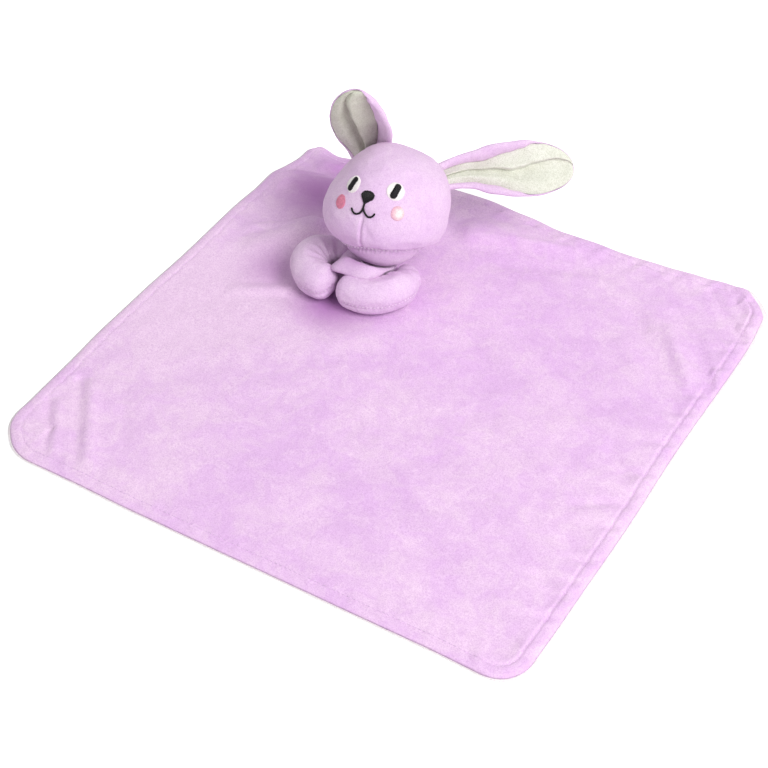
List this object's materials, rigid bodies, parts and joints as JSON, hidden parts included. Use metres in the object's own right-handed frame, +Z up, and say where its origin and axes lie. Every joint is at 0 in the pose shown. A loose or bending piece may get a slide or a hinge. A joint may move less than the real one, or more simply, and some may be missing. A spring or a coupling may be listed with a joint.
{
  "type": "comfort blanket",
  "caption": "Square plush comfort blanket with a stuffed bunny head, floppy lined ears and curled arms sewn on near one corner.",
  "frame": {"origin": "centre of the blanket's flat underside, which is the table's plane", "axes": "+Z up; the bunny faces -Y, sits behind the centre and has its own left hand towards +X"},
  "size_m": [0.35, 0.35, 0.1259],
  "materials": {
    "lavender_plush": "short soft pile",
    "cream_plush": "short soft pile",
    "stuffing": "fibre wadding",
    "black_thread": "satin stitch",
    "cream_thread": "satin stitch",
    "pink_thread": "satin stitch",
    "mauve_thread": "sewing thread"
  },
  "bodies": {
    "blanket": {"blanket_back_ply": "cream_plush", "blanket_top_ply": "lavender_plush", "edge_topstitch": "mauve_thread", "chest_cover": "lavender_plush", "chest_stuffing": "stuffing"},
    "neck": {"neck_wadding": "stuffing"},
    "head": {"head_face_panel": "lavender_plush", "head_back_panel": "lavender_plush", "head_base_panel": "lavender_plush", "head_stuffing": "stuffing", "neck_seam_thread": "mauve_thread", "eye_left_patch": "cream_thread", "eye_left_pupil": "black_thread", "eye_right_patch": "cream_thread", "eye_right_pupil": "black_thread", "cheek_left": "pink_thread", "cheek_right": "pink_thread", "nose": "black_thread", "mouth": "black_thread"},
    "ear_left": {"ear_left_outer": "lavender_plush", "ear_left_lining": "cream_plush"},
    "ear_right": {"ear_right_outer": "lavender_plush", "ear_right_lining": "cream_plush"},
    "arm_left": {"arm_left_top_panel": "lavender_plush", "arm_left_bottom_panel": "lavender_plush", "arm_left_stuffing": "stuffing"},
    "arm_right": {"arm_right_top_panel": "lavender_plush", "arm_right_bottom_panel": "lavender_plush", "arm_right_stuffing": "stuffing"}
  },
  "joints": [
    {"name": "head_turn", "type": "hinge", "parent": "blanket", "child": "neck", "pos_m": [-0.04915, 0.07262, 0.04731], "axis": [-0.071, 0.4484, 0.891], "range_deg": [-30, 30], "stiffness_Nm_per_rad": 0.03},
    {"name": "head_nod", "type": "hinge", "parent": "neck", "child": "head", "pos_m": [-0.04915, 0.07262, 0.04731], "axis": [0.9877, 0.1564, 0], "range_deg": [-12, 12], "stiffness_Nm_per_rad": 0.03},
    {"name": "ear_left_flop", "type": "hinge", "parent": "head", "child": "ear_left", "pos_m": [-0.02727, 0.12126, 0.06194], "axis": [0.2797, -0.6265, -0.7275], "range_deg": [-12, 50], "stiffness_Nm_per_rad": 0.01},
    {"name": "ear_right_flop", "type": "hinge", "parent": "head", "child": "ear_right", "pos_m": [-0.08499, 0.11212, 0.06194], "axis": [0.9054, 0.4086, 0.1154], "range_deg": [-60, 0], "stiffness_Nm_per_rad": 0.01},
    {"name": "arm_left_spread", "type": "hinge", "parent": "blanket", "child": "arm_left", "pos_m": [-0.0294, 0.066, 0.013], "axis": [0, 0, 1], "range_deg": [0, 35], "stiffness_Nm_per_rad": 0.01},
    {"name": "arm_right_spread", "type": "hinge", "parent": "blanket", "child": "arm_right", "pos_m": [-0.0786, 0.066, 0.013], "axis": [0, 0, 1], "range_deg": [-35, 0], "stiffness_Nm_per_rad": 0.01}
  ]
}
